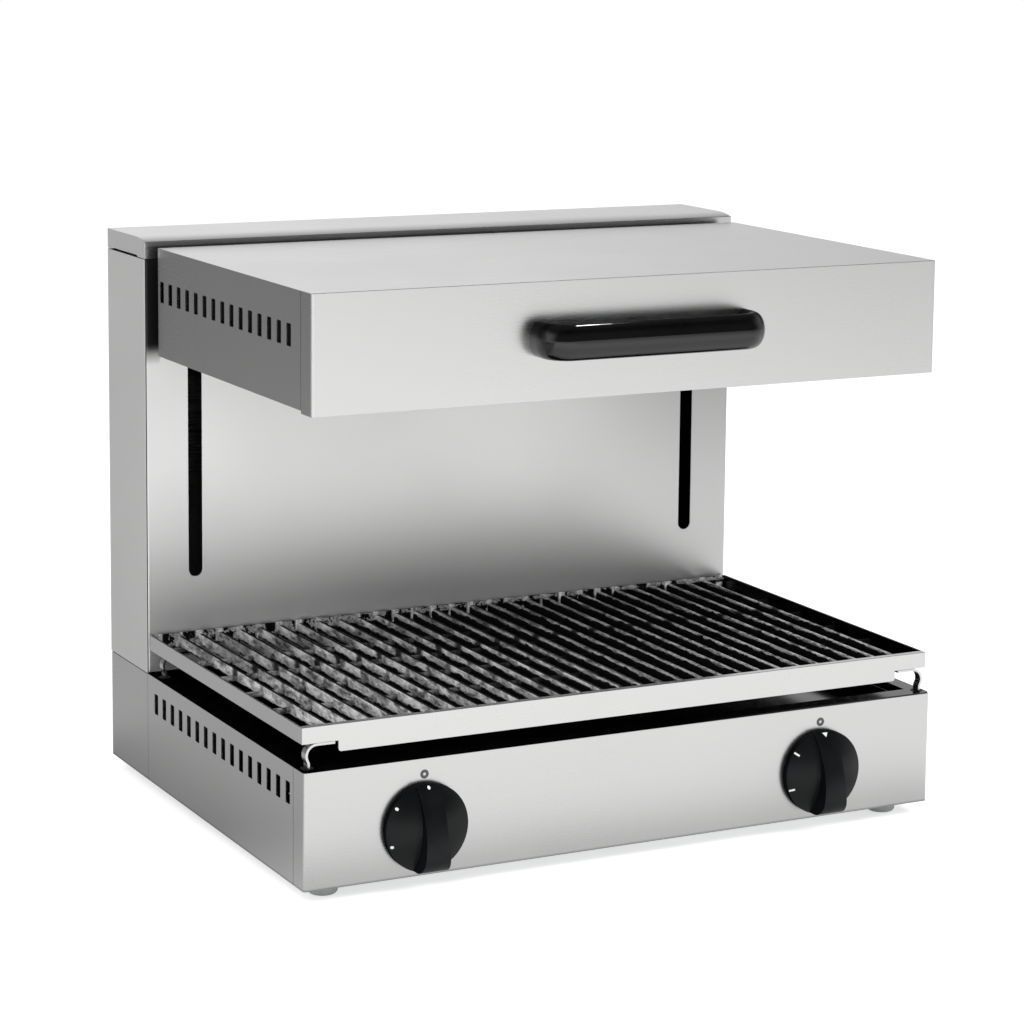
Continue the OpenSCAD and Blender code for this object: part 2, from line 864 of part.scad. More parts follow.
// The side outline of the top cover, shrunk by an inset: a box whose front stretch curves down
module cover_outline(inset) {
    crown_r = (pow(crown_d, 2) + pow(crown_drop, 2)) / (2 * crown_drop);
    intersection() {
        translate([inset, -inset]) square([column_d - 2 * inset, cover_h]);
        union() {
            translate([0, -inset]) square([column_d, cover_h - crown_drop]);
            translate([crown_d, -inset]) square([column_d, cover_h]);
            translate([crown_d, cover_h - crown_r]) circle(r = crown_r - inset, $fn = 128);
        }
    }
}

module column_top_cover() color(steel) {
    slit_y0 = base_d + 19;
    slit_y1 = body_d - 10;
    slit_h = 1.4;
    difference() {
        translate([-half_w, base_d, cover_z]) rotate([90, 0, 90])
            linear_extrude(body_w) cover_outline(0);
        translate([-half_w + sheet, base_d, cover_z]) rotate([90, 0, 90])
            linear_extrude(body_w - 2 * sheet) cover_outline(sheet);
        block(-half_w - over, half_w + over, slit_y0, slit_y1, cover_z - over, cover_z + slit_h);
    }
}

module column_back_panel() color(steel) {
    rows = 5;
    columns = 4;
    row_pitch = 11;
    column_pitch = louvre_l + 25;
    low_z = base_top + 40;
    high_z = cover_z - 90;
    x1 = half_w - sheet - seam;
    difference() {
        block(-x1, x1, body_d - sheet, body_d, base_top, cover_z - seam);
        for (row = [0 : rows - 1], column = [0 : columns - 1], z = [low_z, high_z])
            translate([(column - (columns - 1) / 2) * column_pitch, body_d + over, z + row * row_pitch])
                rotate([90, 0, 0]) linear_extrude(sheet + 2 * over) long_slot(louvre_l, louvre_h);
        back_screw_places()
            bar_along_y(back_screw_r + screw_play, 0, body_d - sheet - over, body_d + over, 0);
    }
}

module back_screw_places() {
    x1 = half_w - 9;
    z0 = base_top + 12;
    z1 = cover_z - 14;
    for (x = [-x1, x1], z = [z0, (base_top + cover_z) / 2, z1]) translate([x, 0, z]) children();
}

module back_panel_screws() color(bright) {
    head_r = 3.8;
    head_h = 2.2;
    back_screw_places() {
        bar_along_y(back_screw_r, 0, body_d - sheet, body_d, 0);
        bar_along_y(head_r, 0, body_d, body_d + head_h, 0);
    }
}

// ---- Guides and counterbalance, inside the column ----

module guide_rods() color(bright) {
    both_sides() bar_along_z(rod_r, rod_x, rod_y, bracket_z, beam_z + beam_t);
}

module rod_foot_brackets() color(dark_steel) {
    bracket_w = 30;
    drop_t = 4;
    drop_h = 30;
    x0 = rod_x - bracket_w / 2;
    x1 = rod_x + bracket_w / 2;
    y0 = base_d + sheet;
    both_sides() difference() {
        union() {
            block(x0, x1, y0, rod_y + 14, bracket_z, bracket_z + bracket_t);
            block(x0, x1, y0, y0 + drop_t, bracket_z - drop_h, bracket_z);
        }
        bar_along_z(rod_r + run_clear, rod_x, rod_y, bracket_z - over, bracket_z + bracket_t + over);
    }
}

module lower_buffers() color(black) {
    wall = 6;
    play = 0.2;
    z0 = bracket_z + bracket_t;
    both_sides() difference() {
        bar_along_z(rod_r + wall, rod_x, rod_y, z0, z0 + buffer_h);
        bar_along_z(rod_r + play, rod_x, rod_y, z0 - over, z0 + buffer_h + over);
    }
}

module pulley_beam() color(dark_steel) {
    beam_x = half_w - sheet;
    end_h = 30;
    cheek_half = 10;
    cheek_below = 9;
    reach = cheek_gap + cheek_t + over;
    difference() {
        union() {
            block(-beam_x, beam_x, beam_y0, beam_y1, beam_z, beam_z + beam_t);
            both_sides() block(beam_x - beam_t, beam_x, beam_y0, beam_y1, beam_z - end_h, beam_z);
            both_sides() for (dx = [-cheek_gap - cheek_t, cheek_gap])
                block(cable_x + dx, cable_x + dx + cheek_t, pulley_y - cheek_half,
                    pulley_y + cheek_half, pulley_z - cheek_below, beam_z);
        }
        both_sides() {
            bar_along_z(rod_r + run_clear, rod_x, rod_y, beam_z - over, beam_z + beam_t + over);
            bar_along_x(axle_r + run_clear, cable_x - reach, cable_x + reach, pulley_y, pulley_z);
        }
    }
}

module pulley_axles() color(bright) {
    reach = cheek_gap + cheek_t;
    tail = 1.5;
    head_r = axle_r + 2;
    head_t = 2.5;
    both_sides() {
        bar_along_x(axle_r, cable_x - reach - tail, cable_x + reach, pulley_y, pulley_z);
        bar_along_x(head_r, cable_x + reach, cable_x + reach + head_t, pulley_y, pulley_z);
    }
}

module pulley(x) {
    half = pulley_w / 2;
    bore_r = axle_r + run_clear;
    groove_half = cable_r + cable_play;
    holes = 5;
    hole_r = 2;
    hole_ring_r = (bore_r + pulley_r) / 2 + 0.5;
    translate([x, pulley_y, pulley_z]) rotate([0, 90, 0]) difference() {
        rotate_extrude() difference() {
            translate([bore_r, -half]) square([pulley_rim_r - bore_r, pulley_w]);
            translate([groove_r, 0]) circle(r = groove_half);
            translate([groove_r, -groove_half]) square([pulley_rim_r, 2 * groove_half]);
        }
        for (i = [0 : holes - 1]) rotate(i * 360 / holes) translate([hole_ring_r, 0, -half - over])
            cylinder(r = hole_r, h = pulley_w + 2 * over);
    }
}

module pulley_left() color([0.75, 0.76, 0.78]) pulley(-cable_x);

module pulley_right() color([0.75, 0.76, 0.78]) pulley(cable_x);

// Half turns of cable that lie in the pulleys' grooves
module cable_wraps() color(dark_steel) {
    both_sides() translate([cable_x, pulley_y, pulley_z]) rotate([0, 90, 0]) intersection() {
        rotate_extrude() translate([groove_r, 0]) circle(r = cable_r);
        translate([-2 * groove_r, -2 * groove_r, -groove_r])
            cube([2 * groove_r, 4 * groove_r, 2 * groove_r]);
    }
}

module hood_cables() color(dark_steel) {
    both_sides() bar_along_z(cable_r, cable_x, cable_y, carriage_z + lug_h, pulley_z);
}

// The counterweight's end of the cables, which stand still and run in its bores
module weight_cables() color(dark_steel) {
    inset = 12;
    both_sides() bar_along_z(cable_r, cable_x, weight_cable_y, weight_z + inset, pulley_z);
}

module counterweight() color(dark_steel) {
    difference() {
        block(-weight_w / 2, weight_w / 2, weight_cable_y - weight_t / 2,
            weight_cable_y + weight_t / 2, weight_z, weight_z + weight_h);
        both_sides() bar_along_z(cable_r + cable_play, cable_x, weight_cable_y,
            weight_z - over, weight_z + weight_h + over);
    }
}

module carriage() color(dark_steel) {
    lug_out = 5;
    difference() {
        union() {
            block(-carriage_w / 2, carriage_w / 2, plate_y, plate_y + plate_t,
                carriage_z, carriage_z + carriage_h);
            both_sides() block(rod_x - block_w / 2, rod_x + block_w / 2, plate_y + plate_t, block_y1,
                carriage_z, carriage_z + carriage_h);
            both_sides() block(cable_x - lug_w / 2, cable_x + lug_w / 2, plate_y + plate_t,
                cable_y + lug_out, carriage_z, carriage_z + lug_h);
        }
        both_sides() bar_along_z(bush_r, rod_x, rod_y, carriage_z - over,
            carriage_z + carriage_h + over);
    }
}

module carriage_bushes() color([0.72, 0.55, 0.3]) {
    fit = 0.02;
    both_sides() for (z = [carriage_z, carriage_z + carriage_h - bush_l]) difference() {
        bar_along_z(bush_r - fit, rod_x, rod_y, z, z + bush_l);
        bar_along_z(rod_r + run_clear, rod_x, rod_y, z - over, z + bush_l + over);
    }
}

// ---- Hood ----

module hood_canopy() color(steel) {
    vent_rise = 57.5;
    vent_shift = 7.5;
    difference() {
        union() {
            block(-hood_half, hood_half, wrap_d + seam, hood_d, hood_top - sheet, hood_top);
            translate([0, sheet, hood_top - sheet]) linear_extrude(sheet)
                channel_lid(hood_w - 2 * sheet, wrap_d + seam, bend_r - sheet);
            both_sides() {
                block(-hood_half, -hood_half + sheet, wrap_d + seam, hood_d, hood_z, hood_top);
                block(-hood_half, -hood_half + flange_w, wrap_d + seam, hood_d,
                    hood_z, hood_flange_z);
            }
        }
        side_vents(hood_vents, hood_vent_pitch, (wrap_d + hood_d) / 2 + vent_shift,
            hood_z + vent_rise, -hood_half - over, hood_half + over);
    }
}

module hood_front_panel() color(steel) {
    z0 = hood_z - hood_lip;
    difference() {
        union() {
            translate([0, 0, z0]) linear_extrude(hood_top - z0) channel_plan(hood_w, wrap_d, bend_r);
            translate([0, 0, z0]) linear_extrude(sheet) channel_lid(hood_w, flange_w, bend_r);
        }
        translate([handle_x, 0, 0]) both_sides()
            bar_along_y(handle_screw_r + screw_play, handle_screw_x, -over, sheet + over, handle_z);
    }
}

module hood_back_plate() color(black) {
    x1 = hood_half - sheet;
    block(-x1, x1, hood_d - sheet, hood_d, hood_flange_z, hood_top - sheet);
    block(-hood_half + flange_w, hood_half - flange_w, hood_d - flange_w, hood_d,
        hood_z, hood_flange_z);
}

module element_risers(r) {
    x = hood_half - element_end_gap;
    both_sides() for (y = [element_y, element_y + (element_runs - 1) * element_pitch])
        bar_along_z(r, x, y, element_z + riser_r, riser_top + over);
}

module hood_reflector() color(bright) {
    x1 = hood_half - reflector_inset;
    y0 = sheet + reflector_inset;
    y1 = hood_d - sheet - reflector_inset;
    difference() {
        block(-x1, x1, y0, y1, hood_flange_z, reflector_z + sheet);
        block(-x1 + sheet, x1 - sheet, y0 + sheet, y1 - sheet, hood_flange_z - over, reflector_z);
        element_risers(element_r + 1);
    }
}

module hood_insulation() color([0.85, 0.8, 0.6]) {
    z0 = reflector_z + sheet;
    x1 = hood_half - insulation_inset;
    difference() {
        block(-x1, x1, sheet + insulation_inset, hood_d - sheet - insulation_inset,
            z0, z0 + insulation_t);
        element_risers(element_r + 1.5);
    }
}

// One sheathed element: straight runs joined by half turns, with both ends turned up
module heating_element() {
    x_in = element_mid_gap + element_bend + element_r;
    x_end = hood_half - element_end_gap;
    x_out = x_end - element_bend - riser_r - element_r;
    last = element_runs - 1;
    for (i = [0 : last]) {
        y = element_y + i * element_pitch;
        bar_along_x(element_r, x_in, i == 0 || i == last ? x_end - riser_r : x_out, y, element_z);
        if (i < last) translate([i % 2 == 0 ? x_in : x_out, y + element_bend, element_z])
            rotate(i % 2 == 0 ? 90 : -90) rotate_extrude(angle = 180)
                translate([element_bend, 0]) circle(r = element_r);
    }
    for (y = [element_y, element_y + last * element_pitch]) {
        translate([x_end - riser_r, y, element_z + riser_r]) rotate([90, 0, 0]) rotate(-90)
            rotate_extrude(angle = 90) translate([riser_r, 0]) circle(r = element_r);
        bar_along_z(element_r, x_end, y, element_z + riser_r, riser_top);
    }
}

module heating_element_left() color([0.25, 0.22, 0.2]) mirror([1, 0, 0]) heating_element();

module heating_element_right() color([0.25, 0.22, 0.2]) heating_element();

module element_brackets() color(bright) {
    plate = 1.5;
    margin = 12;
    below = 8;
    last_y = element_y + (element_runs - 1) * element_pitch;
    both_sides() for (x = [0.22 * hood_half, 0.7 * hood_half]) difference() {
        block(x, x + plate, element_y - margin, last_y + margin, element_z - below, reflector_z);
        for (i = [0 : element_runs - 1])
            bar_along_x(element_r + run_clear, x - over, x + plate + over,
                element_y + i * element_pitch, element_z);
    }
}

module hood_arms() color(dark_steel) {
    pad_t = 2;
    pad_w = 36;
    pad_over = 10;
    both_sides() {
        block(slot_x - arm_t / 2, slot_x + arm_t / 2, hood_d + pad_t, plate_y, arm_z, arm_z + arm_h);
        block(slot_x - pad_w / 2, slot_x + pad_w / 2, hood_d, hood_d + pad_t,
            arm_z - pad_over, arm_z + arm_h + pad_over);
    }
}

// ---- Handle ----

// A section through the handle's bar, from its inner face at x = 0, with half-round edges
module handle_section() {
    translate([handle_t / 2, 0]) long_slot(handle_t, handle_h);
}

// A bow handle, a bar that bends back to the hood at both ends
module handle() color(black) {
    bend_x = handle_w / 2 - handle_r;
    bend_y = handle_r - handle_reach;
    translate([handle_x, 0, handle_z]) difference() {
        union() {
            translate([bend_x, handle_t - handle_reach, 0]) rotate([90, 0, -90])
                linear_extrude(2 * bend_x) handle_section();
            both_sides() {
                translate([bend_x, bend_y, 0]) rotate(-90) rotate_extrude(angle = 90)
                    translate([handle_r - handle_t, 0]) handle_section();
                translate([handle_w / 2 - handle_t, 0, 0]) rotate([90, 0, 0])
                    linear_extrude(-bend_y) handle_section();
            }
        }
        both_sides()
            bar_along_y(handle_screw_r + run_clear, handle_screw_x, -handle_screw_l - over, over, 0);
    }
}

module handle_screws() color(bright) {
    head_r = handle_screw_r + 2.2;
    head_h = 3.2;
    translate([handle_x, 0, 0]) both_sides() {
        bar_along_y(handle_screw_r, handle_screw_x, -handle_screw_l, sheet, handle_z);
        bar_along_y(head_r, handle_screw_x, sheet, sheet + head_h, handle_z);
    }
}

// ---- Rack ----

module rack_front_rail() color(steel) {
    corner = 2.5;
    difference() {
        block(-rack_x, rack_x, rack_y0, rack_y0 + rail_flange_w, rack_z - apron_h, rack_top);
        block(-rack_x + rail_t, rack_x - rail_t, rack_y0 + rail_t, rack_y0 + rail_flange_w + over,
            rack_z - apron_h - over, rack_top - rail_t);
        both_sides() {
            block(-rack_x - over, -rack_x + apron_inset, rack_y0 - over,
                rack_y0 + rail_flange_w + over, rack_z - apron_h - over, rack_z);
            difference() {
                block(-rack_x + apron_inset - over, -rack_x + apron_inset + corner, rack_y0 - over,
                    rack_y0 + rail_flange_w + over, rack_z - apron_h - over,
                    rack_z - apron_h + corner);
                bar_along_y(corner, -rack_x + apron_inset + corner, rack_y0 - 2 * over,
                    rack_y0 + rail_flange_w + 2 * over, rack_z - apron_h + corner);
            }
        }
    }
    // Tabs that the front legs are welded under
    both_sides() block(-rack_x + rail_t, -rack_x + leg_tab_w, rack_y0 + rail_t,
        leg_front_y + leg_w / 2, rack_z, rack_z + rail_t);
}

module rack_rear_rail() color(steel) {
    block(-rack_x + rail_t, rack_x - rail_t, rack_y1 - rail_t, rack_y1, rack_z, rack_top);
}

module rack_side_rails() color(steel) {
    both_sides() {
        block(-rack_x, -rack_x + rail_t, rack_y0 + rail_flange_w, rack_y1, rack_z, rack_top);
        block(-rack_x + rail_t, -rack_x + leg_tab_w, leg_rear_y - leg_w / 2,
            leg_rear_y + leg_w / 2, rack_z, rack_z + rail_t);
    }
}

module rack_bars() color(bright) {
    fit = 0.02;
    for (i = [0 : bar_count - 1]) {
        x = -bars_half + i * bar_step;
        difference() {
            block(x - bar_t / 2, x + bar_t / 2, rack_y0 + rail_t, rack_y1 - rail_t, bar_z, bar_top);
            for (j = [0 : cross_rods - 1])
                bar_along_x(cross_r + fit, x - bar_t, x + bar_t, cross_y + j * cross_pitch, cross_z);
        }
    }
}

module rack_cross_rods() color(bright) {
    for (j = [0 : cross_rods - 1])
        bar_along_x(cross_r, -rack_x + rail_t, rack_x - rail_t, cross_y + j * cross_pitch, cross_z);
}

// A strip that leaves the rail flat, bulges outwards and drops upright into its socket
module leg_outline() {
    top_z = rack_z - leg_t / 2;
    bend_z = top_z - leg_r;
    end_x = leg_bend_x + leg_r * cos(leg_angle);
    end_z = bend_z - leg_r * sin(leg_angle);
    foot_x = end_x - leg_small_r * (1 - cos(leg_angle));
    foot_z = end_z - leg_small_r * sin(leg_angle);
    floor_z = socket_z + socket_floor + seat_gap;
    translate([rack_x - leg_tab_w, top_z - leg_t / 2])
        square([leg_bend_x - rack_x + leg_tab_w, leg_t]);
    translate([leg_bend_x, bend_z]) arc_band(leg_r, leg_t, -leg_angle - 1, 91);
    translate([foot_x + leg_small_r, foot_z]) arc_band(leg_small_r, leg_t, 179 - leg_angle, 181);
    translate([foot_x - leg_t / 2, floor_z]) square([leg_t, foot_z - floor_z]);
}

module rack_legs() color(bright) {
    both_sides() for (y = [leg_front_y, leg_rear_y])
        translate([0, y + leg_w / 2, 0]) rotate([90, 0, 0]) linear_extrude(leg_w) leg_outline();
}

// ---- Placing ----

// Moves the model from the base's front face to the centre of the footprint
module centred() {
    translate([0, -y_mid, 0]) children();
}

centred() base_front_panel();
centred() base_side_left();
centred() base_side_right();
centred() base_rear_casing();
centred() base_floor();
centred() base_bulkhead();
centred() well_liner();
centred() rack_leg_sockets();
centred() feet();
centred() foot_screws();
centred() index_marks();
centred() zone_switch_left();
centred() zone_switch_right();
centred() switch_screws();
centred() terminal_block();
centred() cable_gland();
centred() gland_nut();
centred() bonding_stud();
centred() column_casing();
centred() column_top_cover();
centred() column_back_panel();
centred() back_panel_screws();
centred() guide_rods();
centred() pulley_beam();
centred() pulley_axles();
centred() rod_foot_brackets();
centred() lower_buffers();
centred() cable_wraps();
centred() hood_canopy();
centred() hood_front_panel();
centred() hood_back_plate();
centred() hood_reflector();
centred() hood_insulation();
centred() heating_element_left();
centred() heating_element_right();
centred() element_brackets();
centred() hood_arms();
centred() carriage();
centred() carriage_bushes();
centred() handle();
centred() handle_screws();
centred() hood_cables();
centred() counterweight();
centred() weight_cables();
centred() pulley_left();
centred() pulley_right();
centred() knob_left();
centred() knob_left_spindle();
centred() knob_left_marks();
centred() knob_right();
centred() knob_right_spindle();
centred() knob_right_marks();
centred() rack_front_rail();
centred() rack_rear_rail();
centred() rack_side_rails();
centred() rack_bars();
centred() rack_cross_rods();
centred() rack_legs();
centred() drip_tray();
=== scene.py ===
"""Looks of a counter-top cheese melter with a lifting hood.

Satin steel sheet, a black enamelled well, a rack of bars with burnt-on fat, and black knobs and handle.
"""

import json
import math

import bmesh
import bpy
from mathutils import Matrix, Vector


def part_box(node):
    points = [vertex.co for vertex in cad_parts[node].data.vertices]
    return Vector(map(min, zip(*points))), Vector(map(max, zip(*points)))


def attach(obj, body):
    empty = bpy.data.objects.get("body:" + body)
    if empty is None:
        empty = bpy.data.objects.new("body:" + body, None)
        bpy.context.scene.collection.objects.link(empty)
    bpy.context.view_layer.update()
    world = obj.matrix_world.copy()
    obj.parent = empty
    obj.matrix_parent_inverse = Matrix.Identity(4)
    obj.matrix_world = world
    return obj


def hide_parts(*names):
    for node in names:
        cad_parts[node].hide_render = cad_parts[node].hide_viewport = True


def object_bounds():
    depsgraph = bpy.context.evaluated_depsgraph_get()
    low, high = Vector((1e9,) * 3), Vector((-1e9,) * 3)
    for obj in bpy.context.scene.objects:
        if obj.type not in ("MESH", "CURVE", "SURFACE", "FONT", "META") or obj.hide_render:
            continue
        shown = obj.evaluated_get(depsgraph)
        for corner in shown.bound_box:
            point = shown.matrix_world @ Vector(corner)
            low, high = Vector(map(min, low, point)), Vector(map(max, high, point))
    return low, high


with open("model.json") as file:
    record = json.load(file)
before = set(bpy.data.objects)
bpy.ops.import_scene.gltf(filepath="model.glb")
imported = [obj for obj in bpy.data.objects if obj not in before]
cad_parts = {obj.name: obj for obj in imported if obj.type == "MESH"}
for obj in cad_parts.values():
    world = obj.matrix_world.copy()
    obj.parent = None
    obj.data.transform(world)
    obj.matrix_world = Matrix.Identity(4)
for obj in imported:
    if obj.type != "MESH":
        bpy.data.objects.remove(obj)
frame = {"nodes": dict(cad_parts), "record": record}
cad_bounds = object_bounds()
nodes = frame["nodes"]
record = frame["record"]
body_of = {node: body for body, held in record["behaviour"]["bodies"].items() for node in held}
slot_of = {part["node"]: part["material_slot"] for part in record["subparts"]}

MM = 0.001
WHITE = (1.0, 1.0, 1.0, 1.0)
column_box = [Vector(corner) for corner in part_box("column_casing")]
hood_box = [Vector(corner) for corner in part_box("hood_canopy")]
base_low_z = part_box("base_front_panel")[0][2]
rail_box = [Vector(corner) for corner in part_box("rack_side_rails")]
bars_box = [Vector(corner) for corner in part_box("rack_bars")]
BAR_COUNT = 29
BAR_T = 3.0 * MM
first_bar_x = bars_box[0].x + BAR_T / 2
bar_step = (bars_box[1].x - bars_box[0].x - BAR_T) / (BAR_COUNT - 1)

# ---- Camera ----

CAMERA_PLACE = Vector((-1.2420, -2.4146, 0.8035))
CAMERA_TARGET = Vector((-0.01514, -0.0180, 0.40736))
CAMERA_LENS = 108.68
CAMERA_SHIFT_Y = -0.158
CAMERA_ROLL = math.radians(0.57)


def set_camera():
    data = bpy.data.cameras.new("camera")
    data.lens = CAMERA_LENS
    data.shift_y = CAMERA_SHIFT_Y
    camera = bpy.data.objects.new("camera", data)
    bpy.context.scene.collection.objects.link(camera)
    camera.location = CAMERA_PLACE
    camera.rotation_euler = (CAMERA_TARGET - CAMERA_PLACE).to_track_quat("-Z", "Y").to_euler()
    camera.rotation_euler.rotate_axis("Z", CAMERA_ROLL)
    bpy.context.scene.camera = camera


# ---- Shader expressions ----


class Wave:
    """A number that varies over a surface. Arithmetic on it adds Math nodes."""

    def __init__(self, tree, socket):
        self.tree = tree
        self.socket = socket

    def __add__(self, other):
        return self.tree.math("ADD", self, other)

    def __sub__(self, other):
        return self.tree.math("SUBTRACT", self, other)

    def __rsub__(self, other):
        return self.tree.math("SUBTRACT", other, self)

    def __mul__(self, other):
        return self.tree.math("MULTIPLY", self, other)

    __radd__ = __add__
    __rmul__ = __mul__

    def above(self, limit):
        """1 where the number is above the limit, and 0 elsewhere."""
        return self.tree.math("GREATER_THAN", self, limit)

    def at_least(self, other):
        return self.tree.math("MAXIMUM", self, other)

    def at_most(self, other):
        return self.tree.math("MINIMUM", self, other)

    def size(self):
        return self.tree.math("ABSOLUTE", self)

    def to_and_fro(self, length):
        """Rises from 0 to the length and falls back to 0, over and over."""
        return self.tree.math("PINGPONG", self, length)

    def spread(self, low, high, to_low=0.0, to_high=1.0):
        """Moves the stretch from low to high onto the stretch from to_low to to_high, and no further."""
        settings = {"clamp": True, "interpolation_type": "SMOOTHSTEP"}
        values = {0: self, 1: low, 2: high, 3: to_low, 4: to_high}
        return Wave(self.tree, self.tree.node("ShaderNodeMapRange", settings, values).outputs[0])


class Nodes:
    """A node tree that is filled by one method."""

    def __init__(self, tree):
        self.tree = tree

    def node(self, kind, settings=None, inputs=None):
        made = self.tree.nodes.new(kind)
        for key, value in (settings or {}).items():
            setattr(made, key, value)
        for key, value in (inputs or {}).items():
            self.feed(made.inputs[key], value)
        return made

    def feed(self, socket, value):
        if isinstance(value, Wave):
            value = value.socket
        if isinstance(value, bpy.types.NodeSocket):
            self.tree.links.new(value, socket)
        else:
            socket.default_value = value

    def math(self, operation, first, second=0.0):
        made = self.node("ShaderNodeMath", {"operation": operation}, {0: first, 1: second})
        return Wave(self, made.outputs[0])

    def coordinate(self, vector, index):
        return Wave(self, self.node("ShaderNodeSeparateXYZ", None, {0: vector}).outputs[index])

    def along(self, vector, heading):
        """How far a vector reaches along a heading."""
        made = self.node("ShaderNodeVectorMath", {"operation": "DOT_PRODUCT"}, {0: vector, 1: heading})
        return Wave(self, made.outputs["Value"])

    def rays(self):
        """Whether the ray comes from the camera, and whether from a mirroring or clear surface."""
        path = self.node("ShaderNodeLightPath")
        seen, glossy, through = (Wave(self, path.outputs[name]) for name in
                                 ("Is Camera Ray", "Is Glossy Ray", "Is Transmission Ray"))
        return seen, glossy + through


class Finish(Nodes):
    """A material with one Principled shader. Its constants go straight onto the shader's sockets."""

    def __init__(self, name, **constants):
        self.material = bpy.data.materials.new(name)
        self.material.use_nodes = True
        super().__init__(self.material.node_tree)
        self.shader = self.tree.nodes["Principled BSDF"]
        self.place = self.node("ShaderNodeTexCoord").outputs["Object"]
        for key, value in constants.items():
            self.shader.inputs[socket_name(key)].default_value = value

    def stretched(self, x, y, z):
        """The place in the frame with each direction stretched by itself."""
        settings = {"operation": "MULTIPLY"}
        return self.node("ShaderNodeVectorMath", settings, {0: self.place, 1: (x, y, z)}).outputs[0]

    def noise(self, place, scale=1.0, detail=2.0, roughness=0.5, distortion=0.0):
        values = {"Vector": place, "Scale": scale, "Detail": detail, "Roughness": roughness,
                  "Distortion": distortion}
        return Wave(self, self.node("ShaderNodeTexNoise", None, values).outputs[0])

    def axis(self, index):
        """One coordinate of the place in the frame, in metres."""
        return self.coordinate(self.place, index)

    def facing(self, index):
        """How much the surface faces along one axis, from 0 to 1."""
        normal = self.node("ShaderNodeNewGeometry").outputs["True Normal"]
        return self.coordinate(normal, index).size()

    def mix(self, factor, first, second):
        settings = {"data_type": "RGBA"}
        values = {0: factor, 6: first, 7: second}
        return self.node("ShaderNodeMix", settings, values).outputs[2]

    def bump(self, height, distance, strength=1.0):
        values = {"Height": height, "Distance": distance, "Strength": strength}
        return self.node("ShaderNodeBump", None, values).outputs[0]

    def wear(self, **varying):
        """Feeds what varies over the surface to the shader."""
        for key, value in varying.items():
            self.feed(self.shader.inputs[socket_name(key)], value)
        return self.material


def socket_name(key):
    return key.replace("_", " ").title().replace("Ior", "IOR")


def grey(level, tint=(1.0, 1.0, 1.0)):
    return (level * tint[0], level * tint[1], level * tint[2], 1.0)


# ---- Sheet steel ----

STEEL_TINT = (1.0, 1.0, 0.994)
# Near black for painted shade on the column and along the base's lower edges, and for burnt-on fat on the
# side rails
SOOT_AND_SHADE = grey(0.03)
# How many times a metre the grain of a satin sheet changes along its lines and across them
GRAIN_ALONG = 5.0
GRAIN_ACROSS = 2600.0
# A face lies square to an axis if it faces along it by more than this
SQUARE = 0.7
# The painted shadow beside the raised hood starts this far inside the hood's side, and is full this far
# inside
HOOD_SHADOW_FROM = 11.5 * MM
HOOD_SHADOW_FULL = 5.5 * MM


def satin_steel(name, level, roughness, streaks=1.0, metallic=1.0, dirt_and_shade=None, rougher_sides=0.0):
    """Stainless sheet with a fine grain that runs level on upright faces and sideways on flat ones."""
    finish = Finish(name, metallic=metallic)
    upright = finish.noise(finish.stretched(GRAIN_ALONG, GRAIN_ALONG, GRAIN_ACROSS))
    flat = finish.noise(finish.stretched(GRAIN_ALONG, GRAIN_ACROSS, GRAIN_ALONG))
    grain = upright + (flat - upright) * finish.facing(2).above(SQUARE)
    patches = finish.noise(finish.place, scale=6.0, detail=4.0, roughness=0.55)
    shade = patches.spread(0.3, 0.7, -0.05, 0.05) + (grain - 0.5) * 0.09 * streaks
    tone = finish.mix(shade + 0.5, grey(level - 0.15, STEEL_TINT), grey(level + 0.15, STEEL_TINT))
    # Where its mask is full the steel turns near black: painted shade on the column and along the base's
    # lower edges, burnt-on fat on the side rails, and a plain darkening of the cover
    if dirt_and_shade is not None:
        tone = finish.mix(dirt_and_shade(finish), tone, SOOT_AND_SHADE)
    gloss = patches.spread(0.3, 0.7, roughness - 0.02, roughness + 0.02) + (grain - 0.5) * 0.08 * streaks
    if rougher_sides > 0.0:
        side = finish.facing(0).above(SQUARE) * rougher_sides
        gloss = gloss + side
        finish.wear(metallic=metallic - side * 3.0)
    return finish.wear(base_color=tone, roughness=gloss,
                       normal=finish.bump(grain, 0.01 * MM, 0.2 * streaks))


def column_painted_shade(finish):
    """Painted shade on the column's steel: the inner faces near black, the front darker higher up and
    towards the right, a painted shadow on the front beside the raised hood, and the sides darker, most low
    down."""
    x, y, z = (finish.axis(index) for index in range(3))
    low, high = column_box
    skin = 0.4 * MM
    # The inner faces are painted near black, as the shade inside the column
    outer = x.size().above(high.x - skin) + y.above(high.y - skin) + (low.y + skin - y).above(0.0)
    inner = 1.0 - outer.at_most(1.0)
    # Painted shade on the front, darker higher up and towards the right
    front_shade = z.spread(0.20, 0.42, 0.0, 0.26) + x.spread(0.05, 0.29, 0.0, 0.36)
    # Painted shadow on the front, in the gap beside the raised hood
    beside_hood = x.size().spread(hood_box[1].x - HOOD_SHADOW_FROM, hood_box[1].x - HOOD_SHADOW_FULL)
    behind_hood = z.spread(hood_box[0].z - 20.0 * MM, hood_box[0].z + 10.0 * MM)
    front = front_shade.at_least(beside_hood * behind_hood)
    # Painted shade on the sides, darkest low down
    sides = z.spread(0.12, 0.36, 0.29, 0.11)
    face_shade = front + (sides - front) * finish.facing(0).above(SQUARE)
    return inner.at_least(face_shade)


def lower_edge_shade(finish):
    """Painted shade along the lower edges of the base."""
    return finish.axis(2).spread(base_low_z, base_low_z + 2.5 * MM, 0.5, 0.0)


def cover_darkened_but_ends(finish):
    """Darkens every face of the column's cover but its ends, so the ends stay lighter."""
    return (1.0 - finish.facing(0).above(SQUARE)) * 0.17


def rail_dulled(finish):
    """Burnt-on fat on every face of a side rail but the outer one."""
    skin = 0.3 * MM
    return 1.0 - finish.axis(0).size().above(rail_box[1].x - skin)


# ---- Enamel and burnt-on fat ----


